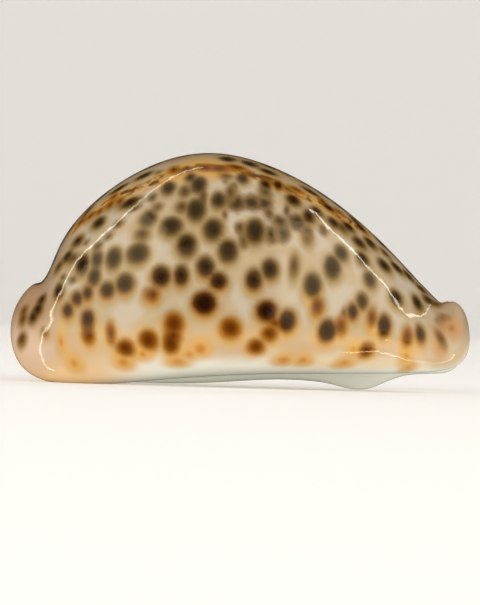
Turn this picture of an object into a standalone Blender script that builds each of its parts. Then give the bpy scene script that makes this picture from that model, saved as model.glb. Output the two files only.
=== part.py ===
"""Cowrie shell, eighty millimetres long, lying on its toothed base.

The shell grew as one piece and is one closed body: a domed back, a lip on either side of the
long slit of the aperture, a notch between two lobes at either end, and a hollow inside.
+X points to the anterior end, -Y to the outer (labral) lip and +Z to the back. Lengths in the
tables are millimetres. The origin is the bottom centre of the shell's box.
"""
import bpy
import numpy as np

MM = 0.001

# Poles of the surface: the tops of the notches where the aperture runs out at the two ends.
POSTERIOR_NOTCH = (-33.6, 0.0, 13.0)
ANTERIOR_NOTCH = (35.4, 0.0, 11.8)

# Guide lines along the body between the two fans, each running from posterior to anterior.
CREST = [(-24.3, 0, 33.7), (-14.5, 0, 39.9), (-3.8, 0, 42.0), (8.3, 0, 38.2),
         (18.2, 0, 32.1), (26.2, 0, 24.9)]
OUTER_MARGIN = [(-29.5, -20.5, 8.6), (-19.5, -26.5, 9.0), (-5.5, -28.6, 9.5), (8.5, -26.8, 9.3),
                (19.5, -22.2, 9.0), (28.0, -16.8, 9.2)]
INNER_MARGIN = [(-29.5, 20.5, 9.4), (-19.5, 28.0, 10.5), (-5.5, 30.2, 11.0), (8.5, 28.2, 10.8),
                (19.5, 22.8, 10.0), (28.0, 16.9, 9.0)]
OUTER_RIDGE = [(-28.5, -8.6, -1.4), (-19.0, -8.8, -0.1), (-6.0, -8.8, 1.55), (8.0, -8.8, 2.5),
               (19.0, -8.2, 2.7), (28.5, -7.4, 3.05)]
INNER_RIDGE = [(-28.5, 9.2, -1.3), (-19.0, 9.0, -0.5), (-6.0, 8.2, -0.5), (8.0, 7.4, 1.35),
               (19.0, 6.4, 0.4), (28.5, 6.4, 4.1)]
RIM = [(-28.0, 2.9, 3.2), (-19.0, 2.7, 3.0), (-6.0, 2.7, 3.1), (8.0, 3.0, 3.6),
       (19.0, 3.4, 3.9), (28.5, 3.6, 4.6)]

# Fans of the lobes at the ends, on the outer lip's side, three stations from the notch inwards
# at the posterior end and three stations towards the notch at the anterior end.
POSTERIOR_FAN = {
    'crest': [(-34.4, 0, 15.8), (-32.8, 0, 19.8), (-31.0, 0, 26.2)],
    'shoulder': [(-34.4, -3.2, 16.2), (-32.9, -5.6, 19.4), (-30.6, -9.5, 25.2)],
    'flank': [(-34.5, -5.4, 17.0), (-33.3, -9.0, 18.2), (-30.9, -15.0, 21.2)],
    'waist': [(-34.8, -6.8, 18.0), (-34.3, -11.4, 16.0), (-31.8, -17.5, 15.2)],
    'margin': [(-35.4, -7.4, 18.4), (-36.6, -12.8, 14.6), (-35.6, -16.8, 9.0)],
    'under1': [(-36.4, -7.2, 17.9), (-39.3, -11.4, 10.8), (-38.0, -14.6, 3.4)],
    'under2': [(-37.1, -6.4, 16.5), (-40.2, -8.8, 10.0), (-38.1, -11.4, 1.0)],
    'ridge': [(-37.0, -5.2, 15.2), (-40.2, -6.4, 9.8), (-37.5, -8.2, 0.6)],
    'rim': [(-35.8, -3.4, 14.2), (-37.4, -3.5, 9.4), (-35.6, -3.2, 4.8)],
}
ANTERIOR_FAN = {
    'crest': [(31.2, 0, 19.4), (33.8, 0, 17.0), (36.0, 0, 14.6)],
    'shoulder': [(31.3, -5.5, 18.9), (33.9, -4.4, 16.7), (36.0, -3.4, 14.9)],
    'flank': [(31.5, -8.8, 16.6), (34.3, -7.0, 15.8), (36.0, -5.4, 15.7)],
    'waist': [(32.6, -11.0, 13.2), (35.4, -9.0, 15.0), (36.4, -6.8, 16.6)],
    'margin': [(35.0, -12.6, 9.0), (38.4, -10.0, 14.2), (37.2, -7.6, 17.7)],
    'under1': [(37.4, -11.6, 3.6), (40.5, -9.8, 8.6), (38.6, -7.6, 17.5)],
    'under2': [(38.8, -9.8, 2.1), (41.0, -8.2, 7.6), (39.1, -6.8, 16.6)],
    'ridge': [(38.4, -7.6, 2.3), (40.7, -6.2, 7.0), (38.6, -5.6, 14.8)],
    'rim': [(36.2, -3.5, 5.6), (37.9, -3.5, 8.0), (36.8, -3.3, 12.4)],
}
UNDERSIDE = ('under1', 'under2', 'ridge', 'rim')
OUTER_LIFT = (1.6, 1.0, 0.0)     # the outer lip stands higher than the inner one at the anterior end
INNER_REACH = 0.9                # the inner lip's lobes reach a little less far out of the notches

# Body sections: angles from the crest down to the margin, and from the margin to the ridge.
DOME_ANGLES = {'shoulder': 24, 'flank': 48, 'waist': 70}
BASE_ANGLES = {'under1': 40, 'under2': 68}
FULLNESS = 1.03                  # lets the smoothed dome still reach its crest and margin

# Per station, pole to pole: the slit's sideways shift, the way into the shell and the wall.
SLIT_SHIFT = (0, 1.5, 1.6, 1.6, 1.2, -0.5, -2.0, -2.4, -1.8, -1.0, -0.2, 0, 0, 0)
WAY_IN = ((1, 0), (1, .1), (1, .1), (.7, .7), (.3, .95), (.05, 1), (0, 1), (0, 1), (-.05, 1),
          (-.25, .95), (-.6, .8), (-.9, .3), (-1, .1), (-1, 0))
RIM_DEPTH = 3.6                  # the slit's straight wall
LIP_DEPTH = 7.0                  # where the lip turns back into the hollow
LIP_WIDTH = 4.0
NOTCH_EDGE = (0.7, 0.4, 0.15)    # share of the way from a pole to the hollow, which rounds the edge
HOLLOW_AXIS = ((-17.0, 0.0, 18.0), (12.0, 0.0, 14.5))
WALLS = {'margin': 3.8, 'waist': 2.3, 'flank': 1.9, 'shoulder': 1.8, 'crest': 1.8}

# Swelling of the inner lip near the anterior end, the shell's foremost point of rest.
KNOB_PLACE = (24.8, 8.4)
KNOB_SPREAD = (6.3, 5.0)
KNOB_DROP = 3.7
KNOB_TOP = 6.0

# Teeth: ridges across both lips, those of one lip facing the gaps of the other.
TOOTH_PITCH = 2.7
TOOTH_HEIGHT = 0.9
TEETH_FROM = -29.0
TEETH_TO = 33.0
TOOTH_FADE = 3.0
OUTER_TOOTH_BAND = (7.05, 8.0, 8.6, 9.6)   # guide numbers where a tooth starts, is full, and ends
INNER_TOOTH_BAND = (7.5, 8.2, 8.8, 9.7)

# Facets: columns between neighbouring guides from the crest to the inside, and rows.
COLUMNS = (2, 2, 2, 2, 2, 1, 2, 3, 1, 1, 1, 1, 1, 1, 1)
ROWS_PER_TOOTH = 4
END_ROWS = 8

SIDE_GUIDES = ('shoulder', 'flank', 'waist', 'margin', 'under1', 'under2', 'ridge', 'rim',
               'wall', 'lip', 'margin_inside', 'waist_inside', 'flank_inside', 'shoulder_inside')


def clear_scene():
    for item in list(bpy.data.objects):
        bpy.data.objects.remove(item)


def ease(value, start, end):
    """0 before start, 1 after end, smooth between."""
    t = np.clip((value - start) / (end - start), 0, 1)
    return t * t * (3 - 2 * t)


def towards_hollow(points, depth):
    """Points moved by depth towards the nearest point of the hollow's axis."""
    first, last = np.array(HOLLOW_AXIS)
    span = last - first
    along = np.clip((points - first) @ span / (span @ span), 0, 1)
    away = first + along[:, None] * span - points
    return points + away / np.linalg.norm(away, axis=1, keepdims=True) * depth


def body_guides(margin, ridge, sign):
    """Guides of one side between the fans; sign is -1 on the outer lip's side, +1 on the other."""
    crest, margin, ridge = np.array(CREST, float), np.array(margin), np.array(ridge)
    guides = {'crest': crest, 'margin': margin, 'ridge': ridge, 'rim': np.array(RIM) * (1, sign, 1)}
    for name, angle in DOME_ANGLES.items():
        across = np.sin(np.radians(angle)) ** 0.95
        up = np.cos(np.radians(angle)) ** 0.98
        drift = ease(np.sin(np.radians(angle)), 0.55, 1.05)
        x = crest[:, 0] + (margin[:, 0] - crest[:, 0]) * drift
        y = margin[:, 1] * across * FULLNESS
        z = margin[:, 2] + (crest[:, 2] - margin[:, 2]) * up * FULLNESS
        guides[name] = np.stack([x, y, z], axis=1)
    for name, angle in BASE_ANGLES.items():
        outwards = np.cos(np.radians(angle)) ** 0.9
        down = 1 - np.sin(np.radians(angle)) ** 0.9
        step = np.array([np.cos(np.radians(angle)), outwards, down])
        guides[name] = ridge + (margin - ridge) * step
    return guides


def side_guides(margin, ridge, sign):
    """All guides of one side from pole to pole, the hollow's included."""
    guides = {}
    for name, middle in body_guides(margin, ridge, sign).items():
        posterior = np.array(POSTERIOR_FAN[name], float) * (1, -sign, 1)
        anterior = np.array(ANTERIOR_FAN[name], float) * (1, -sign, 1)
        if sign < 0 and name in UNDERSIDE:
            anterior[:, 2] += OUTER_LIFT
        if sign > 0:
            posterior[:, 0] += (POSTERIOR_NOTCH[0] - posterior[:, 0]) * (1 - INNER_REACH)
            anterior[:, 0] += (ANTERIOR_NOTCH[0] - anterior[:, 0]) * (1 - INNER_REACH)
        guides[name] = np.vstack([POSTERIOR_NOTCH, posterior, middle, anterior, ANTERIOR_NOTCH])
    shift = np.outer(SLIT_SHIFT, (0, 1, 0))
    way = np.array([(x, 0, z) for x, z in WAY_IN])
    way = way / np.linalg.norm(way, axis=1, keepdims=True)
    guides['ridge'] = guides['ridge'] + shift * 0.6
    guides['rim'] = guides['rim'] + shift
    hollow = {'wall': guides['rim'] + way * RIM_DEPTH,
              'lip': guides['rim'] + way * LIP_DEPTH + (0, sign * LIP_WIDTH, 0)}
    for name, depth in WALLS.items():
        hollow[name + '_inside'] = towards_hollow(guides[name], depth)
    for line in hollow.values():
        line[0], line[-1] = POSTERIOR_NOTCH, ANTERIOR_NOTCH
        line[1] = line[0] + (line[2] - line[0]) * NOTCH_EDGE
        line[-2] = line[-1] + (line[-3] - line[-1]) * NOTCH_EDGE
    return guides | hollow


def control_net():
    """Guide points, station by station, once around: crest, outer lip, hollow, inner lip, crest."""
    outer = side_guides(OUTER_MARGIN, OUTER_RIDGE, -1)
    inner = side_guides(INNER_MARGIN, INNER_RIDGE, 1)
    around = [outer['crest']]
    around += [outer[name] for name in SIDE_GUIDES]
    around += [outer['crest_inside']]
    around += [inner[name] for name in reversed(SIDE_GUIDES)]
    return np.stack(around, axis=1)


def spline_weights(places, count, closed):
    """Cubic B-spline weights of count control points at the given places."""
    cell = np.floor(places).astype(int)
    if not closed:
        cell = np.minimum(cell, count - 2)
    t = places - cell
    parts = ((1 - t) ** 3, 3 * t ** 3 - 6 * t ** 2 + 4, -3 * t ** 3 + 3 * t ** 2 + 3 * t + 1, t ** 3)
    weights = np.zeros((len(places), count))
    rows = np.arange(len(places))
    for offset, part in zip((-1, 0, 1, 2), parts):
        index = cell + offset
        if closed:
            np.add.at(weights, (rows, index % count), part / 6)
            continue
        inside = np.clip(index, 0, count - 1)
        mirrored = np.clip(2 * inside - index, 0, count - 1)
        beyond = index != inside
        np.add.at(weights, (rows, inside), np.where(beyond, 2, 1) * part / 6)
        np.add.at(weights, (rows, mirrored), np.where(beyond, -1, 0) * part / 6)
    return weights


def column_places():
    """Places around the section: the outer side's columns, then the same mirrored."""
    side = [guide + step / count for guide, count in enumerate(COLUMNS) for step in range(count)]
    side = np.array(side)
    turn = 2 * len(COLUMNS)
    return np.concatenate([side, [len(COLUMNS)], turn - side[:0:-1]])


def row_places(net):
    """Places along the shell: even at the ends, and a fixed number to every tooth between."""
    fine = np.linspace(0, len(net) - 1, 600)
    rim = 1 + SIDE_GUIDES.index('rim')
    x = spline_weights(fine, len(net), False) @ net[:, rim, 0]
    marks = np.arange(TEETH_FROM, TEETH_TO, TOOTH_PITCH / ROWS_PER_TOOTH)
    rising = slice(int(np.argmin(x)), int(np.argmax(x)) + 1)
    middle = np.interp(marks, x[rising], fine[rising])
    start = np.linspace(0, middle[0], END_ROWS, endpoint=False)
    end = np.linspace(len(net) - 1, middle[-1], END_ROWS, endpoint=False)[::-1]
    return np.concatenate([start, middle, end])


def outward(grid):
    """Unit normals of a grid of rows that close on themselves."""
    along = np.gradient(grid, axis=0)
    around = np.roll(grid, -1, axis=1) - np.roll(grid, 1, axis=1)
    normal = np.cross(around, along)
    return normal / np.maximum(np.linalg.norm(normal, axis=2, keepdims=True), 1e-9)


def tooth_relief(grid, columns):
    """Height of the teeth: a comb along the rim, fading towards the ends and off the lips."""
    rim = int(np.argmin(abs(columns - 1 - SIDE_GUIDES.index('rim'))))
    x = grid[:, rim, 0]
    turn = 2 * len(COLUMNS)
    guide = np.minimum(columns, turn - columns)
    inner_lip = columns > len(COLUMNS)
    phase = (x[:, None] - TEETH_FROM) / TOOTH_PITCH + 0.5 * inner_lip
    comb = 0.5 + 0.5 * np.cos(2 * np.pi * phase)
    ends = ease(x, TEETH_FROM, TEETH_FROM + TOOTH_FADE) * ease(-x, -TEETH_TO, TOOTH_FADE - TEETH_TO)
    bands = [ease(guide, start, full) * ease(-guide, -end, -hold)
             for start, full, hold, end in (OUTER_TOOTH_BAND, INNER_TOOTH_BAND)]
    return comb * np.outer(ends, np.where(inner_lip, bands[1], bands[0])) * TOOTH_HEIGHT


def knob_drop(grid):
    """How far the swelling under the inner lip hangs below the smooth base."""
    along = (grid[:, :, 0] - KNOB_PLACE[0]) / KNOB_SPREAD[0]
    across = (grid[:, :, 1] - KNOB_PLACE[1]) / KNOB_SPREAD[1]
    return KNOB_DROP * np.exp(-along ** 2 - across ** 2) * ease(-grid[:, :, 2], -KNOB_TOP, 0)


def shell_mesh():
    """The closed skin: a fan of triangles at either pole and quads between."""
    net = control_net()
    rows = row_places(net)
    columns = column_places()
    along = spline_weights(rows, net.shape[0], False)
    around = spline_weights(columns, net.shape[1], True)
    grid = np.einsum('ri,cj,ijk->rck', along, around, net)
    grid = grid + outward(grid) * tooth_relief(grid, columns)[:, :, None]
    grid[:, :, 2] = np.maximum(grid[:, :, 2] - knob_drop(grid), 0)
    low, high = grid.min(axis=(0, 1)), grid.max(axis=(0, 1))
    grid = (grid - ((low[0] + high[0]) / 2, (low[1] + high[1]) / 2, low[2])) * MM

    count = len(columns)
    points = np.vstack([grid[:1, 0], grid[1:-1].reshape(-1, 3), grid[-1:, 0]])
    ring = np.arange(len(points) - 2).reshape(-1, count) + 1
    after = np.roll(ring, -1, axis=1)
    faces = np.stack([ring[:-1], after[:-1], after[1:], ring[1:]], axis=2).reshape(-1, 4).tolist()
    faces += [(0, b, a) for a, b in zip(ring[0], after[0])]
    faces += [(len(points) - 1, a, b) for a, b in zip(ring[-1], after[-1])]
    mesh = bpy.data.meshes.new('shell')
    mesh.from_pydata(points.tolist(), [], faces)
    mesh.shade_smooth()
    return mesh


def shell_material():
    material = bpy.data.materials.new('glazed shell')
    material.use_nodes = True
    surface = material.node_tree.nodes['Principled BSDF']
    surface.inputs['Base Color'].default_value = (0.62, 0.47, 0.33, 1)
    surface.inputs['Roughness'].default_value = 0.12
    surface.inputs['Metallic'].default_value = 0.0
    return material


clear_scene()
shell = bpy.data.objects.new('shell', shell_mesh())
shell.data.materials.append(shell_material())
bpy.context.scene.collection.objects.link(shell)
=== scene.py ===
"""Tiger cowrie shell on a pale studio floor.

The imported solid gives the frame: its box, its node "shell" and its body "root". The shell drawn
here follows the solid's own guide lines, only sampled more finely, and carries the coloured glaze.
Lengths in the tables are millimetres; +X is the anterior end, -Y the outer lip, +Z the back.
"""

import bpy
import numpy as np
from mathutils import Matrix, Vector


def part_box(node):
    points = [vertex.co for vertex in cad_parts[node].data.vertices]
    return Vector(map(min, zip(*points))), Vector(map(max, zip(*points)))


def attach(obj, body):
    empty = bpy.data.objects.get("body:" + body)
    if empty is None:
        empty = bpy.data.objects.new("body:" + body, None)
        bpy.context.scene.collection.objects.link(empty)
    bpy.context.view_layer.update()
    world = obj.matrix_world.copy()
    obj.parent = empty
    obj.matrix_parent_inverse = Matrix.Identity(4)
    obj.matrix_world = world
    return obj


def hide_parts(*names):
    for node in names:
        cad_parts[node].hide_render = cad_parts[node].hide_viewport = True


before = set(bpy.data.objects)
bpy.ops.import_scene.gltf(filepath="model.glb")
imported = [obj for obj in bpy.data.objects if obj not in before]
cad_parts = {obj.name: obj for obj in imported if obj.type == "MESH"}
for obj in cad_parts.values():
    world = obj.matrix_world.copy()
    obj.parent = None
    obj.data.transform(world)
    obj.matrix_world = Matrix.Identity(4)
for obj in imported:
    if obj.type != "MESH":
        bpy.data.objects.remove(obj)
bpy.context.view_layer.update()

# ---------------------------------------------------------------------------------------------
# The shell's form. One piece of aragonite, grown as a coil whose last turn covers all the others
# and curls in along a slit between two toothed lips. The living mantle laid it down, so there
# are no edges, only one closed skin: dome, margins, base, teeth, slit and the hollow inside.
# ---------------------------------------------------------------------------------------------
MM = 0.001

# Poles of the skin: the tops of the notches at the two ends of the slit.
POSTERIOR_NOTCH = (-33.6, 0.0, 13.0)
ANTERIOR_NOTCH = (35.4, 0.0, 11.8)

# Guide lines along the body, each from posterior to anterior.
CREST = [(-24.3, 0, 33.7), (-14.5, 0, 39.9), (-3.8, 0, 42.0), (8.3, 0, 38.2),
         (18.2, 0, 32.1), (26.2, 0, 24.9)]
OUTER_MARGIN = [(-29.5, -20.5, 8.6), (-19.5, -26.5, 9.0), (-5.5, -28.6, 9.5), (8.5, -26.8, 9.3),
                (19.5, -22.2, 9.0), (28.0, -16.8, 9.2)]
INNER_MARGIN = [(-29.5, 20.5, 9.4), (-19.5, 28.0, 10.5), (-5.5, 30.2, 11.0), (8.5, 28.2, 10.8),
                (19.5, 22.8, 10.0), (28.0, 16.9, 9.0)]
OUTER_RIDGE = [(-28.5, -8.6, -1.4), (-19.0, -8.8, -0.1), (-6.0, -8.8, 1.55), (8.0, -8.8, 2.5),
               (19.0, -8.2, 2.7), (28.5, -7.4, 3.05)]
INNER_RIDGE = [(-28.5, 9.2, -1.3), (-19.0, 9.0, -0.5), (-6.0, 8.2, -0.5), (8.0, 7.4, 1.35),
               (19.0, 6.4, 0.4), (28.5, 6.4, 4.1)]
RIM = [(-28.0, 2.9, 3.2), (-19.0, 2.7, 3.0), (-6.0, 2.7, 3.1), (8.0, 3.0, 3.6),
       (19.0, 3.4, 3.9), (28.5, 3.6, 4.6)]

# The lobes at the ends, three stations each, on the outer lip's side.
POSTERIOR_FAN = {
    'crest': [(-34.4, 0, 15.8), (-32.8, 0, 19.8), (-31.0, 0, 26.2)],
    'shoulder': [(-34.4, -3.2, 16.2), (-32.9, -5.6, 19.4), (-30.6, -9.5, 25.2)],
    'flank': [(-34.5, -5.4, 17.0), (-33.3, -9.0, 18.2), (-30.9, -15.0, 21.2)],
    'waist': [(-34.8, -6.8, 18.0), (-34.3, -11.4, 16.0), (-31.8, -17.5, 15.2)],
    'margin': [(-35.4, -7.4, 18.4), (-36.6, -12.8, 14.6), (-35.6, -16.8, 9.0)],
    'under1': [(-36.4, -7.2, 17.9), (-39.3, -11.4, 10.8), (-38.0, -14.6, 3.4)],
    'under2': [(-37.1, -6.4, 16.5), (-40.2, -8.8, 10.0), (-38.1, -11.4, 1.0)],
    'ridge': [(-37.0, -5.2, 15.2), (-40.2, -6.4, 9.8), (-37.5, -8.2, 0.6)],
    'rim': [(-35.8, -3.4, 14.2), (-37.4, -3.5, 9.4), (-35.6, -3.2, 4.8)],
}
ANTERIOR_FAN = {
    'crest': [(31.2, 0, 19.4), (33.8, 0, 17.0), (36.0, 0, 14.6)],
    'shoulder': [(31.3, -5.5, 18.9), (33.9, -4.4, 16.7), (36.0, -3.4, 14.9)],
    'flank': [(31.5, -8.8, 16.6), (34.3, -7.0, 15.8), (36.0, -5.4, 15.7)],
    'waist': [(32.6, -11.0, 13.2), (35.4, -9.0, 15.0), (36.4, -6.8, 16.6)],
    'margin': [(35.0, -12.6, 9.0), (38.4, -10.0, 14.2), (37.2, -7.6, 17.7)],
    'under1': [(37.4, -11.6, 3.6), (40.5, -9.8, 8.6), (38.6, -7.6, 17.5)],
    'under2': [(38.8, -9.8, 2.1), (41.0, -8.2, 7.6), (39.1, -6.8, 16.6)],
    'ridge': [(38.4, -7.6, 2.3), (40.7, -6.2, 7.0), (38.6, -5.6, 14.8)],
    'rim': [(36.2, -3.5, 5.6), (37.9, -3.5, 8.0), (36.8, -3.3, 12.4)],
}
UNDERSIDE = ('under1', 'under2', 'ridge', 'rim')
OUTER_LIFT = (1.6, 1.0, 0.0)     # the outer lip stands higher at the anterior end
INNER_REACH = 0.9                # the inner lip's lobes reach a little less far out

# Body sections: angles from the crest down to the margin, and from the margin to the ridge.
DOME_ANGLES = {'shoulder': 24, 'flank': 48, 'waist': 70}
BASE_ANGLES = {'under1': 40, 'under2': 68}
FULLNESS = 1.03                  # the guides stand out this much, as the spline runs inside them
ACROSS_POWER = 0.95
UP_POWER = 0.98
BASE_POWER = 0.9
DRIFT = (0.55, 1.05)             # where a guide turns from the crest's station to the margin's

# Per station, pole to pole: the slit's sideways shift, the way into the shell and the wall.
RIDGE_SHARE = 0.6                # the ridges' share of the slit's shift
SLIT_SHIFT = (0, 1.5, 1.6, 1.6, 1.2, -0.5, -2.0, -2.4, -1.8, -1.0, -0.2, 0, 0, 0)
WAY_IN = ((1, 0), (1, .1), (1, .1), (.7, .7), (.3, .95), (.05, 1), (0, 1), (0, 1), (-.05, 1),
          (-.25, .95), (-.6, .8), (-.9, .3), (-1, .1), (-1, 0))
RIM_DEPTH = 3.6
LIP_DEPTH = 7.0
LIP_WIDTH = 4.0
NOTCH_EDGE = (0.7, 0.4, 0.15)
HOLLOW_AXIS = ((-17.0, 0.0, 18.0), (12.0, 0.0, 14.5))
WALLS = {'margin': 3.8, 'waist': 2.3, 'flank': 1.9, 'shoulder': 1.8, 'crest': 1.8}

# Swelling of the inner lip near the anterior end, on which the shell rests.
KNOB_PLACE = (24.8, 8.4)
KNOB_SPREAD = (6.3, 5.0)
KNOB_DROP = 3.7
KNOB_TOP = 6.0

# Teeth across both lips.
TOOTH_PITCH = 2.7
TOOTH_HEIGHT = 0.9
TEETH_FROM = -29.0
TEETH_TO = 33.0
TOOTH_FADE = 3.0
OUTER_TOOTH_BAND = (7.05, 8.0, 8.6, 9.6)
INNER_TOOTH_BAND = (7.5, 8.2, 8.8, 9.7)

# Sampling: columns between neighbouring guides from the crest to the inside, rows to a tooth,
# rows beyond the teeth at either end, and places tried when the teeth are looked for.
COLUMNS = (16, 16, 15, 14, 11, 9, 9, 8, 5, 3, 2, 2, 2, 2, 2)
ROWS_PER_TOOTH = 9
END_ROWS = 42
FINE_PLACES = 600

SIDE_GUIDES = ('shoulder', 'flank', 'waist', 'margin', 'under1', 'under2', 'ridge', 'rim',
               'wall', 'lip', 'margin_inside', 'waist_inside', 'flank_inside', 'shoulder_inside')
MARGIN, RIDGE, RIM_GUIDE = (1 + SIDE_GUIDES.index(name) for name in ('margin', 'ridge', 'rim'))
TURN = 2 * len(COLUMNS)


def ease(value, start, end):
    """0 before start, 1 after end, with t * t * (3 - 2 t) between."""
    t = np.clip((value - start) / (end - start), 0, 1)
    return t * t * (3 - 2 * t)


def towards_hollow(points, depth):
    """Points moved by depth towards the nearest point of the hollow's axis."""
    first, last = np.array(HOLLOW_AXIS)
    span = last - first
    along = np.clip((points - first) @ span / (span @ span), 0, 1)
    away = first + along[:, None] * span - points
    return points + away / np.linalg.norm(away, axis=1, keepdims=True) * depth


def body_guides(margin, ridge, sign):
    """Guides of one side: superellipse quarters from the crest to the margin and to the ridge."""
    crest, margin, ridge = np.array(CREST, float), np.array(margin), np.array(ridge)
    guides = {'crest': crest, 'margin': margin, 'ridge': ridge, 'rim': np.array(RIM) * (1, sign, 1)}
    for name, angle in DOME_ANGLES.items():
        across = np.sin(np.radians(angle)) ** ACROSS_POWER
        up = np.cos(np.radians(angle)) ** UP_POWER
        drift = ease(np.sin(np.radians(angle)), *DRIFT)
        x = crest[:, 0] + (margin[:, 0] - crest[:, 0]) * drift
        y = margin[:, 1] * across * FULLNESS
        z = margin[:, 2] + (crest[:, 2] - margin[:, 2]) * up * FULLNESS
        guides[name] = np.stack([x, y, z], axis=1)
    for name, angle in BASE_ANGLES.items():
        outwards = np.cos(np.radians(angle)) ** BASE_POWER
        down = 1 - np.sin(np.radians(angle)) ** BASE_POWER
        step = np.array([np.cos(np.radians(angle)), outwards, down])
        guides[name] = ridge + (margin - ridge) * step
    return guides


def side_guides(margin, ridge, sign):
    """All guides of one side from pole to pole, the hollow's included."""
    guides = {}
    for name, middle in body_guides(margin, ridge, sign).items():
        posterior = np.array(POSTERIOR_FAN[name], float) * (1, -sign, 1)
        anterior = np.array(ANTERIOR_FAN[name], float) * (1, -sign, 1)
        if sign < 0 and name in UNDERSIDE:
            anterior[:, 2] += OUTER_LIFT
        if sign > 0:
            posterior[:, 0] += (POSTERIOR_NOTCH[0] - posterior[:, 0]) * (1 - INNER_REACH)
            anterior[:, 0] += (ANTERIOR_NOTCH[0] - anterior[:, 0]) * (1 - INNER_REACH)
        guides[name] = np.vstack([POSTERIOR_NOTCH, posterior, middle, anterior, ANTERIOR_NOTCH])
    shift = np.outer(SLIT_SHIFT, (0, 1, 0))
    way = np.array([(x, 0, z) for x, z in WAY_IN])
    way = way / np.linalg.norm(way, axis=1, keepdims=True)
    guides['ridge'] = guides['ridge'] + shift * RIDGE_SHARE
    guides['rim'] = guides['rim'] + shift
    hollow = {'wall': guides['rim'] + way * RIM_DEPTH,
              'lip': guides['rim'] + way * LIP_DEPTH + (0, sign * LIP_WIDTH, 0)}
    for name, depth in WALLS.items():
        hollow[name + '_inside'] = towards_hollow(guides[name], depth)
    for line in hollow.values():
        line[0], line[-1] = POSTERIOR_NOTCH, ANTERIOR_NOTCH
        line[1] = line[0] + (line[2] - line[0]) * NOTCH_EDGE
        line[-2] = line[-1] + (line[-3] - line[-1]) * NOTCH_EDGE
    return guides | hollow


def control_net():
    """Guide points, station by station, once around: crest, outer lip, hollow, inner lip, crest."""
    outer = side_guides(OUTER_MARGIN, OUTER_RIDGE, -1)
    inner = side_guides(INNER_MARGIN, INNER_RIDGE, 1)
    around = [outer['crest']]
    around += [outer[name] for name in SIDE_GUIDES]
    around += [outer['crest_inside']]
    around += [inner[name] for name in reversed(SIDE_GUIDES)]
    return np.stack(around, axis=1)


def spline_weights(places, count, closed):
    """Uniform cubic B-spline weights of count control points at the given places."""
    cell = np.floor(places).astype(int)
    if not closed:
        cell = np.minimum(cell, count - 2)
    t = places - cell
    parts = ((1 - t) ** 3, 3 * t ** 3 - 6 * t ** 2 + 4,
             -3 * t ** 3 + 3 * t ** 2 + 3 * t + 1, t ** 3)
    weights = np.zeros((len(places), count))
    rows = np.arange(len(places))
    for offset, part in zip((-1, 0, 1, 2), parts):
        index = cell + offset
        if closed:
            np.add.at(weights, (rows, index % count), part / 6)
            continue
        inside = np.clip(index, 0, count - 1)
        mirrored = np.clip(2 * inside - index, 0, count - 1)
        beyond = index != inside
        np.add.at(weights, (rows, inside), np.where(beyond, 2, 1) * part / 6)
        np.add.at(weights, (rows, mirrored), np.where(beyond, -1, 0) * part / 6)
    return weights


def column_places():
    """Places around the section: the outer side's columns, then the same mirrored."""
    side = [guide + step / count for guide, count in enumerate(COLUMNS) for step in range(count)]
    side = np.array(side)
    return np.concatenate([side, [len(COLUMNS)], TURN - side[:0:-1]])


def row_places(net):
    """Places along the shell: even at the ends, and a fixed number to every tooth between."""
    fine = np.linspace(0, len(net) - 1, FINE_PLACES)
    x = spline_weights(fine, len(net), False) @ net[:, RIM_GUIDE, 0]
    marks = np.arange(TEETH_FROM, TEETH_TO, TOOTH_PITCH / ROWS_PER_TOOTH)
    rising = slice(int(np.argmin(x)), int(np.argmax(x)) + 1)
    middle = np.interp(marks, x[rising], fine[rising])
    start = np.linspace(0, middle[0], END_ROWS, endpoint=False)
    end = np.linspace(len(net) - 1, middle[-1], END_ROWS, endpoint=False)[::-1]
    return np.concatenate([start, middle, end])


def outward(grid):
    """Unit normals of a grid of rows that close on themselves: around cross along."""
    along = np.gradient(grid, axis=0)
    around = np.roll(grid, -1, axis=1) - np.roll(grid, 1, axis=1)
    normal = np.cross(around, along)
    return normal / np.maximum(np.linalg.norm(normal, axis=2, keepdims=True), 1e-9)


def tooth_relief(grid, columns):
    """Height of the teeth: a comb along the rim, fading towards the ends and off the lips."""
    rim = int(np.argmin(abs(columns - RIM_GUIDE)))
    x = grid[:, rim, 0]
    guide = np.minimum(columns, TURN - columns)
    inner_lip = columns > len(COLUMNS)
    phase = (x[:, None] - TEETH_FROM) / TOOTH_PITCH + 0.5 * inner_lip
    comb = 0.5 + 0.5 * np.cos(2 * np.pi * phase)
    ends = ease(x, TEETH_FROM, TEETH_FROM + TOOTH_FADE) * ease(-x, -TEETH_TO, TOOTH_FADE - TEETH_TO)
    bands = [ease(guide, start, full) * ease(-guide, -end, -hold)
             for start, full, hold, end in (OUTER_TOOTH_BAND, INNER_TOOTH_BAND)]
    return comb * np.outer(ends, np.where(inner_lip, bands[1], bands[0])) * TOOTH_HEIGHT


def knob_drop(grid):
    """How far the swelling under the inner lip hangs below the smooth base."""
    along = (grid[:, :, 0] - KNOB_PLACE[0]) / KNOB_SPREAD[0]
    across = (grid[:, :, 1] - KNOB_PLACE[1]) / KNOB_SPREAD[1]
    return KNOB_DROP * np.exp(-along ** 2 - across ** 2) * ease(-grid[:, :, 2], -KNOB_TOP, 0)


def shell_grid():
    """The skin's points in metres, a row for each section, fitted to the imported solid's box."""
    net = control_net()
    rows = row_places(net)
    columns = column_places()
    along = spline_weights(rows, net.shape[0], False)
    around = spline_weights(columns, net.shape[1], True)
    grid = np.einsum('ri,cj,ijk->rck', along, around, net)
    grid = grid + outward(grid) * tooth_relief(grid, columns)[:, :, None]
    grid[:, :, 2] = np.maximum(grid[:, :, 2] - knob_drop(grid), 0)
    low, high = grid.min(axis=(0, 1)), grid.max(axis=(0, 1))
    solid_low, solid_high = (np.array(corner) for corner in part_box('shell'))
    share = (grid - low) / (high - low)
    return solid_low + share * (solid_high - solid_low), columns


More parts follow.
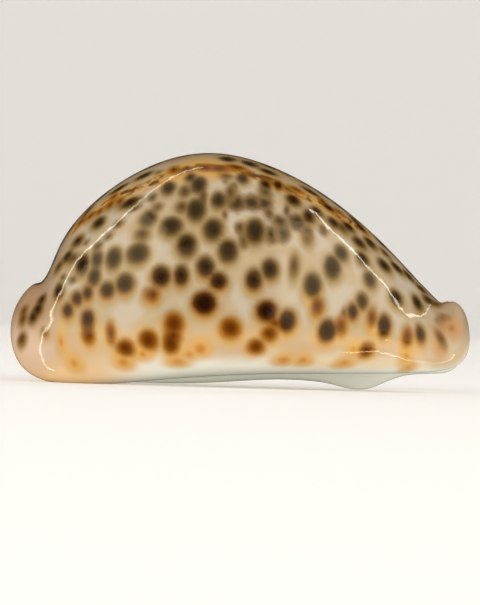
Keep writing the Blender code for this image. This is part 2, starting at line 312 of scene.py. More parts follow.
def skin_mesh(grid):
    """The closed skin: a fan of triangles at either pole and quads between."""
    count = grid.shape[1]
    points = np.vstack([grid[:1, 0], grid[1:-1].reshape(-1, 3), grid[-1:, 0]])
    ring = np.arange(len(points) - 2).reshape(-1, count) + 1
    after = np.roll(ring, -1, axis=1)
    faces = np.stack([ring[:-1], after[:-1], after[1:], ring[1:]], axis=2)
    faces = faces.reshape(-1, 4).tolist()
    faces += [(0, b, a) for a, b in zip(ring[0], after[0])]
    faces += [(len(points) - 1, a, b) for a, b in zip(ring[-1], after[-1])]
    mesh = bpy.data.meshes.new('cowrie')
    mesh.from_pydata(points.tolist(), [], faces)
    mesh.shade_smooth()
    return mesh


grid, columns = shell_grid()
shell = bpy.data.objects.new('cowrie', skin_mesh(grid))
bpy.context.scene.collection.objects.link(shell)

# ---------------------------------------------------------------------------------------------
# The markings. The mantle lays pigment under and into the last coats of glaze: dark spots with
# amber edges, paler ones deeper down, amber blotches along the margins and one ochre line along
# the back where the two halves of the mantle met. One of the deep ones, at the root of the
# anterior lobe, is enlarged into painted shade in the crease there. Here each kind is a distance in
# millimetres.
# ---------------------------------------------------------------------------------------------
# Marks on the outer lip's side: place along the shell, height, half length and half width.
DARK_MARKS = [
    (-17.8, 22.4, 1.65, 1.65), (-22.0, 21.9, 1.2, 1.6), (-24.8, 21.6, 0.9, 1.3),
    (-27.1, 20.3, 1.1, 1.7), (-28.3, 24.5, 0.9, 0.9), (-30.1, 21.8, 0.9, 0.9),
    (-25.0, 18.1, 1.0, 1.35), (-19.7, 17.3, 1.4, 1.5), (-22.8, 16.1, 1.15, 1.15),
    (-13.6, 19.1, 1.45, 1.55), (-26.0, 15.5, 0.85, 1.0), (-27.9, 14.7, 0.95, 1.0),
    (-29.5, 12.3, 0.9, 1.05), (-25.9, 11.1, 1.1, 1.35), (-31.2, 15.8, 0.8, 1.1),
    (-34.1, 14.0, 0.8, 0.8), (-34.8, 12.5, 0.95, 0.95), (-35.4, 11.0, 0.8, 0.8),
    (-24.9, 27.6, 1.0, 1.1), (-19.4, 31.1, 1.6, 1.0), (-16.2, 28.2, 1.2, 1.4),
    (-12.3, 27.3, 1.6, 1.6), (-13.0, 33.9, 0.95, 1.4), (-17.3, 36.1, 1.2, 0.9),
    (-21.7, 33.7, 1.4, 0.8),
    (-10.3, 19.3, 1.05, 1.45), (-6.1, 21.0, 1.25, 1.55), (-4.0, 18.6, 1.25, 1.3),
    (2.0, 18.8, 1.2, 1.55), (4.6, 20.6, 1.15, 1.5), (-6.2, 14.6, 1.85, 1.85),
    (4.3, 13.6, 1.6, 1.6), (8.0, 12.2, 1.3, 1.6), (11.9, 18.0, 1.35, 1.85),
    (15.3, 21.2, 1.3, 1.9), (21.8, 19.3, 0.95, 1.2), (24.3, 21.8, 1.15, 1.1),
    (20.7, 15.6, 0.9, 1.15), (19.0, 13.9, 0.85, 1.15), (14.6, 10.4, 1.45, 1.7),
    (24.6, 11.4, 1.15, 1.6), (-2.4, 23.2, 1.4, 1.8), (-9.5, 24.5, 1.4, 1.8),
    (-5.0, 27.1, 1.4, 1.8), (-8.1, 30.1, 1.4, 2.1), (-7.8, 34.8, 1.1, 1.9),
    (-4.5, 32.1, 1.0, 1.5), (3.5, 35.1, 0.8, 1.2), (-0.4, 36.0, 0.8, 1.2),
    (3.9, 37.3, 1.2, 1.0), (5.6, 35.1, 0.65, 1.3), (-9.2, 36.0, 0.7, 1.0),
    (-3.0, 39.4, 1.1, 1.3), (0.7, 38.6, 1.2, 1.3), (1.8, 26.7, 1.4, 2.1),
    (8.3, 32.7, 1.1, 1.3), (11.3, 34.2, 1.2, 0.8), (11.2, 29.7, 0.85, 1.4),
    (12.4, 30.8, 0.8, 0.9), (14.6, 31.5, 1.1, 0.9), (15.4, 28.8, 1.0, 1.0),
    (17.9, 28.3, 0.95, 1.0), (19.1, 29.4, 0.8, 0.9), (20.3, 28.2, 0.95, 1.0),
    (20.0, 25.7, 1.1, 1.0), (22.0, 25.6, 1.1, 1.1), (26.6, 21.4, 1.2, 0.9),
    (28.8, 20.2, 1.0, 0.8), (16.7, 23.7, 1.05, 1.35), (20.6, 22.9, 1.0, 1.1),
    (26.5, 16.4, 1.1, 1.2), (30.2, 15.5, 0.9, 1.2), (32.1, 16.1, 0.9, 0.9),
    (31.0, 18.0, 0.9, 0.7), (30.9, 10.4, 0.8, 1.2)]
BROWN_MARKS = [
    (-15.1, 15.4, 1.1, 1.1), (-19.2, 6.3, 1.4, 1.4), (-15.6, 7.9, 1.4, 1.6),
    (-11.3, 10.6, 1.5, 1.7), (-11.6, 7.4, 1.2, 1.9), (-1.6, 10.6, 1.55, 1.6),
    (5.0, 9.7, 1.15, 1.1), (2.9, 7.2, 1.2, 1.3), (12.8, 14.3, 1.0, 1.5),
    (8.7, 21.3, 0.6, 1.5), (17.2, 11.3, 1.0, 1.25), (22.3, 12.9, 0.8, 1.4),
    (21.6, 7.3, 1.15, 1.2), (28.6, 9.6, 0.9, 1.4), (-37.1, 12.2, 0.7, 0.7),
    (-37.5, 10.8, 0.8, 0.8), (-37.2, 7.1, 0.8, 1.1), (-22.0, 9.2, 0.7, 1.4), (-11.4, 9.0, 1.2, 1.3),
    (34.4, 9.6, 0.6, 1.3), (-25.7, 8.7, 1.0, 1.4), (-24.8, 29.6, 0.6, 0.6),
    (-23.0, 30.7, 0.8, 0.9), (-21.3, 31.3, 0.7, 0.9), (-12.1, 37.0, 0.8, 1.1),
    (-17.2, 26.1, 1.0, 1.1), (-10.6, 30.7, 0.8, 1.0), (-10.2, 33.3, 0.8, 1.1),
    (-7.0, 32.8, 0.5, 1.3), (-2.4, 33.6, 0.6, 1.3), (3.5, 33.8, 0.8, 1.0),
    (13.4, 32.6, 0.7, 0.8), (16.4, 30.9, 0.7, 0.7),
    (16.9, 27.9, 0.8, 0.9), (8.8, 34.4, 1.2, 0.7), (10.9, 26.2, 0.5, 0.7),
    (-22.4, 32.2, 0.6, 0.7), (-26.3, 28.6, 0.6, 0.9), (-26.6, 29.8, 0.6, 0.7),
    (24.6, 24.0, 0.8, 0.7), (33.6, 15.4, 0.7, 0.7), (-28.9, 21.3, 0.7, 0.6),
    (-31.5, 20.0, 0.9, 0.9), (-27.9, 27.8, 0.7, 0.8), (-27.3, 29.0, 0.6, 0.7),
    (-6.7, 37.5, 1.4, 1.0), (-4.4, 37.7, 1.6, 1.1), (-1.7, 37.8, 1.4, 1.0),
    (-3.2, 36.4, 0.8, 0.6), (-33.3, 8.9, 0.35, 0.35), (5.9, 11.2, 0.9, 0.6)]
AMBER_MARKS = [
    (-30.6, 7.2, 0.7, 1.6), (-28.2, 3.4, 1.2, 1.4), (-19.6, 3.8, 1.4, 1.6),
    (-10.3, 4.3, 1.7, 1.5), (-8.4, 5.6, 1.3, 1.2), (-6.6, 6.4, 1.4, 1.6), (7.4, 5.2, 1.5, 1.6),
    (10.8, 5.1, 1.3, 1.5), (18.0, 4.9, 1.4, 1.5), (19.4, 7.4, 0.9, 1.1),
    (28.7, 6.3, 0.9, 1.5), (28.9, 4.4, 0.9, 1.4), (34.2, 7.9, 0.6, 0.9),
    (36.5, 11.4, 1.1, 1.2), (-16.4, 5.4, 1.1, 1.1), (22.9, 11.1, 0.5, 0.5),
    (12.4, 16.2, 0.5, 0.6)]
# Pale spots deep in the glaze. The last one is also painted shade in the crease at the anterior
# lobe's root.
FAINT_MARKS_AND_LOBE_SHADE = [
    (-24.7, 23.7, 1.0, 0.9), (-28.8, 17.6, 0.8, 0.7), (-30.5, 18.3, 0.6, 0.7),
    (-18.6, 30.3, 1.1, 0.8), (-15.6, 32.2, 0.9, 1.1), (-14.7, 30.5, 1.0, 1.0),
    (-21.4, 27.3, 1.1, 0.9), (-23.0, 25.0, 0.8, 0.7), (-26.7, 24.1, 0.6, 0.6),
    (-14.8, 36.7, 0.7, 0.9), (-3.2, 29.8, 0.5, 1.0), (-0.5, 27.0, 1.0, 1.3),
    (13.7, 27.5, 0.9, 1.2),
    (13.1, 30.0, 0.5, 0.5), (16.5, 29.5, 0.6, 0.6), (-3.4, 35.6, 0.5, 0.8),
    (17.6, 13.6, 0.7, 1.1), (-1.4, 31.7, 1.9, 2.2), (1.3, 31.6, 1.7, 2.1),
    (3.6, 31.9, 1.5, 2.1), (4.9, 26.4, 1.4, 1.9), (6.8, 26.7, 1.4, 1.9), (6.1, 28.5, 1.5, 1.8),
    (9.3, 28.4, 1.9, 2.1), (10.9, 26.9, 1.1, 2.0), (4.2, 30.0, 0.8, 1.3), (7.4, 30.7, 0.6, 1.5),
    # The last mark is a deep spot enlarged to paint the shade in the crease at the root of the
    # anterior lobe.
    (-1.8, 34.2, 0.6, 1.3), (0.1, 25.1, 0.9, 1.6), (34.9, 12.4, 1.4, 1.6)]
# The ochre line along the back: place along the shell and height on the outer lip's side.
MANTLE_LINE = [(-29.0, 26.5), (-26.5, 29.0), (-24.0, 30.8), (-20.0, 33.0), (-17.5, 34.0),
               (-15.0, 35.2), (-12.0, 36.6), (-8.0, 37.7), (-5.0, 37.6), (-2.0, 37.5),
               (1.0, 36.7), (4.0, 35.8), (6.0, 34.9), (9.0, 33.9), (11.0, 33.0), (14.0, 31.6),
               (17.5, 29.8), (21.0, 27.4)]


NEARER_FIRST = 0.01       # of two points seen at one place, the nearer one is taken
FAR = 8.0
FUSE = 0.5
FAINT_FUSE = 0.9
SEEP_LAG = 0.45


class Skin:
    """The grid as a surface to paint on: points in millimetres, tangents, normals, guide places."""

    def __init__(self, grid, columns):
        self.points = grid.reshape(-1, 3) / MM
        self.normal = outward(grid).reshape(-1, 3)
        along = np.gradient(grid, axis=0).reshape(-1, 3)
        self.along = along / np.maximum(np.linalg.norm(along, axis=1, keepdims=True), 1e-12)
        self.across = np.cross(self.normal, self.along)
        guide = np.minimum(columns, TURN - columns)
        self.guide = np.broadcast_to(guide, grid.shape[:2]).reshape(-1)
        self.outer = np.broadcast_to(columns <= len(COLUMNS), grid.shape[:2]).reshape(-1)
        self.skin = self.guide < RIDGE
        self.seen = self.skin & self.outer & (self.normal[:, 1] < 0)

    def at(self, x, z):
        """Number of the point on the outer lip's side that is nearest to x and z, seen level."""
        off = np.hypot(self.points[:, 0] - x, self.points[:, 2] - z)
        off = off + self.points[:, 1] * NEARER_FIRST
        return int(np.argmin(np.where(self.seen, off, np.inf)))

    def distance(self, index, half_length, half_width, lag=0.0):
        """Distance to an ellipse around a point, or lag below it: less than 0 inside it."""
        away = self.points - self.points[index] + (0, 0, lag)
        mean = np.sqrt(half_length * half_width)
        parts = (away @ self.along[index] / half_length, away @ self.across[index] / half_width,
                 away @ self.normal[index] / mean)
        return (np.sqrt(sum(part ** 2 for part in parts)) - 1) * mean


def merge(first, second, reach):
    """Smooth smaller of two distances: where they differ by less than reach, the marks fuse."""
    overlap = np.maximum(reach - abs(first - second), 0) / reach
    return np.minimum(first, second) - overlap ** 2 * reach / 4


skin = Skin(grid, columns)
tables = {'dark': DARK_MARKS, 'brown': BROWN_MARKS, 'amber': AMBER_MARKS, 'faint_and_shade': FAINT_MARKS_AND_LOBE_SHADE}
marks = {kind: [(skin.at(x, z), half_length, half_width)
                for x, z, half_length, half_width in table]
         for kind, table in tables.items()}

# The side away from the outer lip: spots scattered with the same sizes and gaps. Dark ones go
# down to the margin, brown and amber ones along it, and only amber ones below it.
SCATTER_SEED = 11
SCATTER_TRIES = 1500
DARK_SIZES = (0.95, 1.6)
MARGIN_SIZES = (1.0, 1.5)
CREST_SHRINK = 0.75
STRETCH = (0.85, 1.2)
GAP = (0.3, 1.5)
MIXED_FROM = MARGIN - 0.7
AMBER_FROM = MARGIN + 0.1
SPOTS_END = MARGIN + 0.6
UNSEEN_NORMAL = -0.12
BROWN_CHANCE = 0.6
DARK_CHANCE = 0.8
rng = np.random.default_rng(SCATTER_SEED)
cell = np.cross(np.gradient(grid, axis=0), np.gradient(grid, axis=1))
cell = np.linalg.norm(cell, axis=2).reshape(-1)
drawn_by_hand = skin.outer & (skin.normal[:, 1] < UNSEEN_NORMAL)
share = np.where(skin.skin & (skin.guide < SPOTS_END) & ~drawn_by_hand, cell, 0)
taken = [(index, max(a, b)) for kind in ('dark', 'brown', 'amber') for index, a, b in marks[kind]]
for index in rng.choice(len(share), SCATTER_TRIES, p=share / share.sum()):
    guide = skin.guide[index]
    sizes = MARGIN_SIZES if guide > MIXED_FROM else DARK_SIZES
    size = rng.uniform(*sizes) * (CREST_SHRINK if guide < 1 else 1.0)
    stretch = rng.uniform(*STRETCH)
    chance = rng.random()
    gap = rng.uniform(*GAP)
    away = np.array([skin.points[other] for other, other_size in taken]) - skin.points[index]
    room = np.array([other_size for other, other_size in taken]) + size + gap
    if np.any(np.linalg.norm(away, axis=1) < room):
        continue
    if guide > AMBER_FROM:
        kind = 'amber'
    elif guide > MIXED_FROM:
        kind = 'brown' if chance < BROWN_CHANCE else 'amber'
    else:
        kind = 'dark' if chance < DARK_CHANCE else 'brown'
    marks[kind].append((index, size * stretch, size / stretch))
    taken.append((index, size))

# The fields that the glaze reads at every point: a distance to each kind of mark, to the seep
# around the marks and to the line along the back, the guide's number, and shares of the lobes
# and of the hollow inside.
LINE_STEPS = 400
LOBES = (28.0, 36.0)
INSIDE = (RIM_GUIDE + 0.4, RIM_GUIDE + 1.6)
fields = {}
for kind, placed in marks.items():
    field = np.full(len(skin.points), FAR)
    reach = FAINT_FUSE if kind == 'faint_and_shade' else FUSE
    for index, half_length, half_width in placed:
        own = np.minimum(skin.distance(index, half_length, half_width), FAR)
        field = merge(field, own, reach)
    fields[kind] = field
seep = np.full(len(skin.points), FAR)
for index, half_length, half_width in marks['dark'] + marks['brown']:
    seep = np.minimum(seep, skin.distance(index, half_length, half_width, SEEP_LAG))
fields['seep'] = seep
line = np.array([skin.points[skin.at(x, z)] for x, z in MANTLE_LINE])
steps = np.linspace(0, len(line) - 1, LINE_STEPS)
path = [np.interp(steps, np.arange(len(line)), line[:, axis]) for axis in range(3)]
near = np.full(len(skin.points), FAR)
for place in np.stack(path, axis=1):
    near = np.minimum(near, np.linalg.norm(skin.points - place, axis=1))
fields['mantle_line'] = near
fields['guide'] = skin.guide
fields['lobe'] = ease(abs(skin.points[:, 0]), *LOBES)
fields['inside'] = ease(skin.guide, *INSIDE)
for name, field in fields.items():
    rows = field.reshape(grid.shape[:2])
    values = np.concatenate([rows[:1, 0], rows[1:-1].reshape(-1), rows[-1:, 0]])
    attribute = shell.data.attributes.new(name, 'FLOAT', 'POINT')
    attribute.data.foreach_set('value', values.astype(np.float32))


# ---------------------------------------------------------------------------------------------
# The glaze. Enamel laid down in hundreds of thin coats, as glossy as a polished tile: creamy
# with bluish and pinkish depths, white on the base and the teeth, with the marks inside it.
# ---------------------------------------------------------------------------------------------
class Field:
    """A number that varies over the surface. Sums and products of it add Math nodes."""

    def __init__(self, socket):
        self.socket = socket

    def math(self, operation, first, second):
        node = self.socket.id_data.nodes.new('ShaderNodeMath')
        node.operation = operation
        feed(node.inputs[0], first)
        feed(node.inputs[1], second)
        return Field(node.outputs[0])

    def __add__(self, other):
        return self.math('ADD', self, other)

    def __sub__(self, other):
        return self.math('SUBTRACT', self, other)

    def __mul__(self, other):
        return self.math('MULTIPLY', self, other)

    def __rsub__(self, other):
        return self.math('SUBTRACT', other, self)

    __radd__ = __add__
    __rmul__ = __mul__


def feed(socket, value):
    """Links a field or a colour to a socket, or sets the socket to a plain value."""
    if isinstance(value, Field):
        socket.id_data.links.new(value.socket, socket)
    else:
        socket.default_value = value


class Finish:
    """A material and its node tree."""

    def __init__(self, name):
        self.material = bpy.data.materials.new(name)
        self.material.use_nodes = True
        self.tree = self.material.node_tree
        self.tree.nodes.clear()

    def node(self, kind, settings, sockets, output=0):
        """Adds a node: its settings first, then its sockets; gives one of its outputs."""
        node = self.tree.nodes.new(kind)
        for name, value in settings.items():
            setattr(node, name, value)
        for name, value in sockets.items():
            feed(node.inputs[name], value)
        return Field(node.outputs[output])

    def attribute(self, name):
        return self.node('ShaderNodeAttribute', {'attribute_name': name}, {}, 'Fac')

    def noise(self, size, detail=2.0, shift=0.0):
        """Noise with lumps of about size millimetres, from 0 to 1 around a half."""
        place = self.node('ShaderNodeTexCoord', {}, {}, 'Object')
        moved = self.node('ShaderNodeVectorMath', {'operation': 'ADD'},
                          {0: place, 1: (shift,) * 3})
        return self.node('ShaderNodeTexNoise', {},
                         {'Vector': moved, 'Scale': 1 / (size * MM), 'Detail': detail})

    def step(self, field, start, full):
        """0 at start, 1 at full, smooth between; start may be the larger one."""
        return self.node('ShaderNodeMapRange', {'interpolation_type': 'SMOOTHSTEP'},
                         {'Value': field, 'From Min': start, 'From Max': full})

    def blend(self, share, first, second):
        """A colour: the first where share is 0, the second where it is 1."""
        return self.node('ShaderNodeMix', {'data_type': 'RGBA'},
                         {0: share, 6: first, 7: second}, 2)

    def finish(self, **sockets):
        sockets = {name.replace('_', ' '): value for name, value in sockets.items()}
        shader = self.node('ShaderNodeBsdfPrincipled', {}, sockets)
        feed(self.tree.nodes.new('ShaderNodeOutputMaterial').inputs['Surface'], shader)
        return self.material


def tone(red, green, blue):
    """A colour given as it looks on a screen, 0 to 255, as the linear colour that nodes use."""
    share = np.array([red, green, blue]) / 255
    linear = np.where(share <= 0.04045, share / 12.92, ((share + 0.055) / 1.055) ** 2.4)
    return (*linear.tolist(), 1.0)


# The ground's tones, then the lobes', the back line's and the marks', each from rim to core.
FAWN, SAND, FLANK_FAWN = tone(174, 148, 106), tone(184, 162, 124), tone(179, 157, 118)
PEARL, BLUE_PEARL = tone(197, 174, 140), tone(204, 192, 174)
MARGIN_CREAM, LIP_CREAM, CREST_GOLD = tone(213, 184, 144), tone(240, 208, 152), tone(184, 142, 80)
POSTERIOR_BASE, WHITE_BASE = tone(246, 214, 166), tone(252, 252, 240)
POSTERIOR_MAUVE, ANTERIOR_MAUVE = tone(176, 138, 104), tone(170, 144, 114)
POSTERIOR_PEACH, ANTERIOR_PEACH = tone(228, 196, 168), tone(212, 188, 154)
# These tones colour the pale deep spots and the painted shade at the anterior lobe's root.
SMUDGE_AND_SHADE, SMUDGE_AND_SHADE_CORE = tone(124, 95, 52), tone(70, 48, 18)
LINE_GOLD, LINE_RUST = tone(214, 164, 82), tone(98, 52, 6)
SEEP_EDGE, SEEP_OLIVE, SEEP_AMBER = tone(226, 178, 96), tone(150, 122, 70), tone(200, 144, 56)
AMBER_RIM, AMBER_CORE = tone(226, 176, 94), tone(204, 126, 32)
ROSE_RIM, ROSE_CORE = tone(190, 140, 90), tone(150, 96, 52)
BROWN_RIM, BROWN_CORE = tone(110, 82, 44), tone(78, 52, 24)
RUST_RIM, RUST_CORE = tone(140, 80, 12), tone(100, 48, 8)
DARK_RIM, DARK_CORE = tone(92, 68, 34), tone(44, 30, 12)
UMBER_RIM, UMBER_CORE = tone(92, 48, 10), tone(36, 14, 5)
INSIDE_VIOLET = tone(196, 190, 204)


class Enamel(Finish):
    """The shell's glaze. Guides count from 0 at the crest, 4 at the margin, to 7 at the ridge."""

    def __init__(self):
        super().__init__('spotted enamel')
        self.ragged = (self.noise(0.9, 3.0) - 0.5) * 0.5 + (self.noise(2.6, 2.0, 0.31) - 0.5) * 0.9
        self.soft = (self.noise(3.2, 2.0, 0.77) - 0.5) * 2.0
        self.cloud = self.noise(9.0, 2.0, 0.13)
        self.lobe = self.attribute('lobe')
        self.guide = self.attribute('guide')
        self.forward = self.millimetres('X')
        self.height = self.millimetres('Z')
        self.seep = self.attribute('seep') + self.soft * 0.25
        self.back_line = self.attribute('mantle_line') + self.soft * 0.7
        self.clouded = self.guide + (self.cloud - 0.5) * 0.6
        warm = self.step(self.clouded, 2.75, 3.7) * (1 - self.lobe * 0.8)
        self.warm = warm + self.step(self.back_line, 3.4, 1.7) * (1 - warm)
        self.base = self.step(self.guide - self.lobe * 0.9 + (self.cloud - 0.5) * 0.8, 4.3, 5.4)

    def millimetres(self, axis):
        place = self.node('ShaderNodeTexCoord', {}, {}, 'Object')
        return self.node('ShaderNodeSeparateXYZ', {}, {0: place}, axis) * (1 / MM)

    def ground(self):
        """Fawn between the spots, pearly where they leave room, cream at the margin."""
        colour = self.blend(self.step(self.cloud, 0.35, 0.65), FAWN, SAND)
        colour = self.blend(self.step(self.clouded, 2.3, 3.5), colour, FLANK_FAWN)
        depth = self.noise(6.0, 2.0, 0.52)
        pearl = self.blend(self.step(depth, 0.4, 0.62), PEARL, BLUE_PEARL)
        colour = self.blend(self.step(self.seep, 0.5, 2.4) * 0.8, colour, pearl)
        margin = self.step(self.guide - self.lobe * 1.2, 3.75, 4.3)
        colour = self.blend(margin, colour, MARGIN_CREAM)
        return self.blend(self.step(self.guide, 1.1, 0.2) * 0.7, colour, CREST_GOLD)

    def ends_and_base(self, colour):
        """Mauve above and peach below on the lobes, white on the base, cream along the lip."""
        anterior = self.step(self.forward, -20, 20)
        mauve = self.blend(anterior, POSTERIOR_MAUVE, ANTERIOR_MAUVE)
        peach = self.blend(anterior, POSTERIOR_PEACH, ANTERIOR_PEACH)
        lobes = self.blend(self.step(self.height, 13, 6), mauve, peach)
        colour = self.blend(self.lobe * 0.9, colour, lobes)
        white = self.blend(self.step(self.forward, -27, -14), POSTERIOR_BASE, WHITE_BASE)
        colour = self.blend(self.base, colour, white)
        lip = self.step(self.guide + self.soft * 0.2, 6.0, 5.0) * self.base
        cream = self.step(self.forward + self.soft, 2, 12) * lip
        return self.blend(cream * 0.7, colour, LIP_CREAM)

    def smudges_and_shade(self, colour):
        """Spots deep down, blurred and broken by the coats above; painted shade at the anterior
        lobe's root.
        """
        grain = self.noise(1.1, 2.0, 0.66) - 0.5
        depth = self.attribute('faint_and_shade') + self.ragged * 0.6 + grain * 0.5
        colour = self.blend(self.step(depth, 0.8, -0.5) * 0.9, colour, SMUDGE_AND_SHADE)
        return self.blend(self.step(depth + self.cloud, 0.4, -1.0), colour, SMUDGE_AND_SHADE_CORE)

    def meeting_line(self, colour):
        """The line along the back: gold, widest behind the top, with flecks that crowd there."""
        behind = self.forward + self.soft
        widening = self.step(behind, -16, -8) - self.step(behind, -8, 0)
        gold = self.step(self.back_line - widening * 2.8, 3.4, 0.2)
        colour = self.blend(gold * 0.8, colour, LINE_GOLD)
        dense = self.step(self.forward, -11, -6) - self.step(self.forward, 5, 12)
        flecks = self.step(self.noise(1.7, 3.0, 0.41) + dense * 0.15, 0.42, 0.58)
        return self.blend(self.step(self.back_line, 2.0, 0.6) * flecks * 0.9, colour, LINE_RUST)

    def seeps(self, colour):
        """An amber or olive seep around each spot, wider below it."""
        margin = self.step(self.guide, 3.6, 4.2) * (1 - self.lobe)
        colour = self.blend(self.step(self.seep, 2.4, 0.6) * margin * 0.5, colour, SEEP_EDGE)
        seep = self.blend(self.warm, SEEP_OLIVE, SEEP_AMBER)
        return self.blend(self.step(self.seep, 1.5, -0.4) * 0.9, colour, seep)

    def marks(self, colour):
        """Amber blotches, then brown spots, then dark ones: for each a rim and a core."""
        amber = self.attribute('amber') + self.soft * 0.25
        brown = self.attribute('brown') + self.ragged * 0.5
        dark = self.attribute('dark') + self.ragged * 0.45
        amber_core = self.step(amber, 0.0, -1.3) * (0.8 - self.base * 0.35)
        layers = (
            (self.step(amber, 2.1, -0.4) * 0.85, self.lobe, AMBER_RIM, ROSE_RIM),
            (amber_core, self.lobe, AMBER_CORE, ROSE_CORE),
            (self.step(brown, 1.1, -0.5) * 0.95, self.warm, BROWN_RIM, RUST_RIM),
            (self.step(brown, 0.1, -1.2), self.warm, BROWN_CORE, RUST_CORE),
            (self.step(dark, 1.15, -0.4), self.warm, DARK_RIM, UMBER_RIM),
            (self.step(dark, 0.3, -1.1), self.warm, DARK_CORE, UMBER_CORE))
        for share, kind, first, second in layers:
            colour = self.blend(share, colour, self.blend(kind, first, second))
        return colour

    def material_of_shell(self):
        colour = self.ends_and_base(self.ground())
        colour = self.meeting_line(self.smudges_and_shade(colour))
        colour = self.marks(self.seeps(colour))
        colour = self.blend(self.attribute('inside'), colour, INSIDE_VIOLET)
        bump = self.node('ShaderNodeBump', {}, {'Strength': 0.5, 'Distance': 0.0001,
                                                'Height': self.noise(3.5, 2.0, 0.9)})
        return self.finish(Base_Color=colour, Roughness=0.06, IOR=1.6,
                           Specular_Tint=(1.0, 0.8, 0.48, 1.0), Normal=bump)


shell.data.materials.append(Enamel().material_of_shell())
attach(shell, "root")
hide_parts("shell")

# ---------------------------------------------------------------------------------------------
# The studio. A pale sweep of matt acrylic: a floor that rises into a wall all around. Over its
# middle stands a light tent of plain diffuser: two side walls that lean back, a roof, and a dim
# screen behind and above the camera, with bright hems along the side walls' rear edges.
# ---------------------------------------------------------------------------------------------
PAPER_TONE = tone(232, 230, 227)
TABLE_GLOW = 0.36
FLOOR_LEVEL = -0.00003
FLOOR_RADIUS = 1.1
FLOOR_RINGS = 12
PINHOLE = 0.00001                # radius of the floor's innermost ring
BEND_RINGS = 24
SWEEP_RADIUS = 1.2
SWEEP_SPOKES = 128
WALL_HEIGHT = 3.0


def revolve(name, radius, height):
    """Turns a profile, given by its radii and heights, around the upright axis."""
    angle = np.arange(SWEEP_SPOKES) / SWEEP_SPOKES * 2 * np.pi
    points = np.stack([np.outer(radius, np.cos(angle)), np.outer(radius, np.sin(angle)),
                       np.outer(height, np.ones_like(angle))], axis=2).reshape(-1, 3)
    number = np.arange(len(points)).reshape(len(radius), SWEEP_SPOKES)
    after = np.roll(number, -1, axis=1)
    faces = np.stack([number[:-1], number[1:], after[1:], after[:-1]], axis=2).reshape(-1, 4)
    mesh = bpy.data.meshes.new(name)
    mesh.from_pydata(points.tolist(), [], faces.tolist())
    mesh.shade_smooth()
    mesh.materials.append(paper)
    ring = bpy.data.objects.new(name, mesh)
    ring.visible_glossy = False
    bpy.context.scene.collection.objects.link(ring)


paper = Finish('pale acrylic').finish(Base_Color=PAPER_TONE, Roughness=0.9,
                                     Emission_Color=PAPER_TONE, Emission_Strength=TABLE_GLOW)
flat = np.linspace(PINHOLE, FLOOR_RADIUS, FLOOR_RINGS)
revolve('floor', flat, np.full_like(flat, FLOOR_LEVEL))
bend = np.linspace(0, np.pi / 2, BEND_RINGS)
wall_radius = FLOOR_RADIUS + SWEEP_RADIUS
revolve('sweep', np.append(FLOOR_RADIUS + SWEEP_RADIUS * np.sin(bend), wall_radius),
        np.append(FLOOR_LEVEL + SWEEP_RADIUS * (1 - np.cos(bend)), WALL_HEIGHT))

LAMP_COLOUR = (1.0, 0.97, 0.92)
HEM_COLOUR = (0.8, 0.9, 1.0)
HEM_LIGHT = 10
HEM_WIDTH = 0.024


def panel(name, corner, across, up, radiance, colour=LAMP_COLOUR):
    """A rectangle of diffuser, from a corner along two edges, that shines towards the shell."""
    corner, across, up = Vector(corner), Vector(across), Vector(up)
    centre = corner + (across + up) / 2
    back = across.cross(up).normalized()
    if back.dot(centre) < 0:
        back.negate()
    side = up.normalized().cross(back)
    turn = Matrix((side, up.normalized(), back)).transposed()
    light = bpy.data.lights.new(name, 'AREA')
    light.shape = 'RECTANGLE'
    light.size = across.length
    light.size_y = up.length
    light.energy = radiance * np.pi * across.length * up.length
    light.color = colour
    lamp = bpy.data.objects.new(name, light)
    lamp.matrix_world = Matrix.Translation(centre) @ turn.to_4x4()
    lamp.visible_camera = False
    bpy.context.scene.collection.objects.link(lamp)
    return lamp


def hem(name, points, radiance):
    """A narrow bright strip through points, turned to the shell and seen only in its glaze."""
    points = [Vector(point) for point in points]
    for start, end in zip(points, points[1:]):
        across = (end - start).cross(start + end).normalized() * HEM_WIDTH
        strip = panel(name, start - across / 2, across, end - start, radiance, HEM_COLOUR)
        strip.visible_diffuse = False


# The side walls stand in the planes x = -WALL_X and WALL_X. Each has a rear edge that leans back
# from its foot to its top, both given as y and z, and runs on below the table, where it is seen
# only in the glaze and fades out. The right one is wider there.
WALL_X = 0.8
WALL_RUN = 1.25
LOW_SHARE = 0.7                  # of the rear edge's length, how much lies below its foot
WIDER_SHARE = 0.5                # and along how much of it the right wall is wider
SIDE_LIGHT = 0.95
FADE_SHARE = 0.08
FADE_LIGHTS = (0.8, 0.6, 0.4, 0.2)
LEFT_WALL = ('left wall', -WALL_X, (-0.35, 0.0), (0.32, 1.145), 0.0)
RIGHT_WALL = ('right wall', WALL_X, (-0.31, 0.05), (0.50, 1.0), 0.4)
for name, x, foot, top, low_run in (LEFT_WALL, RIGHT_WALL):
    rear = Vector((0, top[0] - foot[0], top[1] - foot[1]))
    forwards = Vector((0, -rear.z, rear.y)).normalized()
    run = forwards * WALL_RUN
    backwards = -forwards * low_run
    corner = Vector((x, *foot)) - rear * LOW_SHARE
    panel(name, corner, run, rear * (1 + LOW_SHARE), SIDE_LIGHT)
    if low_run:
        panel(name + ' below', corner, backwards, rear * WIDER_SHARE, SIDE_LIGHT)
    for number, share in enumerate(FADE_LIGHTS, 1):
        panel(f'{name} fade {number}', corner + backwards - rear * FADE_SHARE * number,
              run - backwards, rear * FADE_SHARE, SIDE_LIGHT * share)

# The roof is a square that points at the camera.
ROOF_HEIGHT = 1.145
ROOF_EDGE = 1.0
ROOF_FRONT = -1.08
ROOF_LIGHT = 0.3
panel('roof', (0, ROOF_FRONT, ROOF_HEIGHT), (ROOF_EDGE, ROOF_EDGE, 0), (-ROOF_EDGE, ROOF_EDGE, 0),
      ROOF_LIGHT)

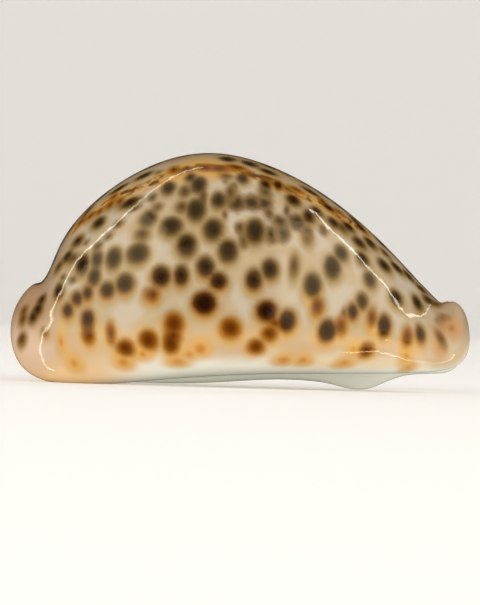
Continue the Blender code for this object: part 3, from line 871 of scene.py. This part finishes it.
# The hems, as y and z along the walls. They follow the rear edges down to the table; below it the
# left one runs on, and the right one starts again further forwards. One more edges the roof.
LEFT_HEM = ((0.41, 1.145), (0.24, 0.78), (0.08, 0.44), (-0.28, 0.08), (-0.30, -0.18),
            (-0.21, -0.62), (0.07, -1.14), (0.36, -1.62))
RIGHT_HEM = ((0.76, 1.27), (0.46, 1.04), (0.31, 0.79), (0.13, 0.48), (0.02, 0.39))
RIGHT_LOW_HEM = ((-0.38, -0.22), (-0.29, -0.60), (-0.25, -1.00), (-0.21, -1.33))
EAVE_END = (-0.1, 0.85, ROOF_HEIGHT)
for name, x, edge in (('left hem', -WALL_X, LEFT_HEM), ('right hem', WALL_X, RIGHT_HEM),
                      ('right low hem', WALL_X, RIGHT_LOW_HEM)):
    hem(name, [(x, *point) for point in edge], HEM_LIGHT)
hem('left eave', [(-WALL_X, LEFT_HEM[0][0], ROOF_HEIGHT), EAVE_END], HEM_LIGHT / 2)

# The screen is a stack of panels that brighten upwards.
SCREEN_LIGHTS = (0.03, 0.07, 0.13, 0.19, 0.27, 0.34, 0.36)
SCREEN_Y = -1.0
SCREEN_FOOT = 0.12
SCREEN_STEP = 0.14
for number, radiance in enumerate(SCREEN_LIGHTS):
    panel(f'screen {number + 1}', (-WALL_X, SCREEN_Y, SCREEN_FOOT + SCREEN_STEP * number),
          (2 * WALL_X, 0, 0), (0, 0, SCREEN_STEP), radiance)

# Two low fill lights, in front and behind, that the glaze doesn't mirror: y, foot, height, light.
FILL_WIDTH = 2.0
FILLS = {'low fill': (-1.05, 0.0, 0.4, 0.46), 'rear fill': (1.05, 0.1, 0.9, 0.3)}
for name, (y, foot, height, radiance) in FILLS.items():
    fill = panel(name, (-FILL_WIDTH / 2, y, foot), (FILL_WIDTH, 0, 0), (0, 0, height), radiance)
    fill.visible_glossy = False

ROOM_COLOUR = (0.015, 0.015, 0.015, 1.0)
world = bpy.data.worlds.new('room')
world.use_nodes = True
world.node_tree.nodes['Background'].inputs['Color'].default_value = ROOM_COLOUR
bpy.context.scene.world = world
bpy.context.scene.view_settings.view_transform = 'Standard'

# The camera, level with the shell and square to its outer lip.
DISTANCE = 0.9
EYE = Vector((-0.0002, -DISTANCE, 0.018))
TARGET = Vector((-0.0002, 0.0, 0.01463))
FIELD_WIDTH = 0.08363
ROLL = -0.0308
camera = bpy.data.cameras.new('camera')
camera.sensor_fit = 'HORIZONTAL'
camera.lens = camera.sensor_width * DISTANCE / FIELD_WIDTH
camera.clip_start = 0.01
viewer = bpy.data.objects.new('camera', camera)
turn = (TARGET - EYE).to_track_quat('-Z', 'Y').to_matrix() @ Matrix.Rotation(-ROLL, 3, 'Z')
viewer.matrix_world = Matrix.Translation(EYE) @ turn.to_4x4()
bpy.context.scene.collection.objects.link(viewer)
bpy.context.scene.camera = viewer
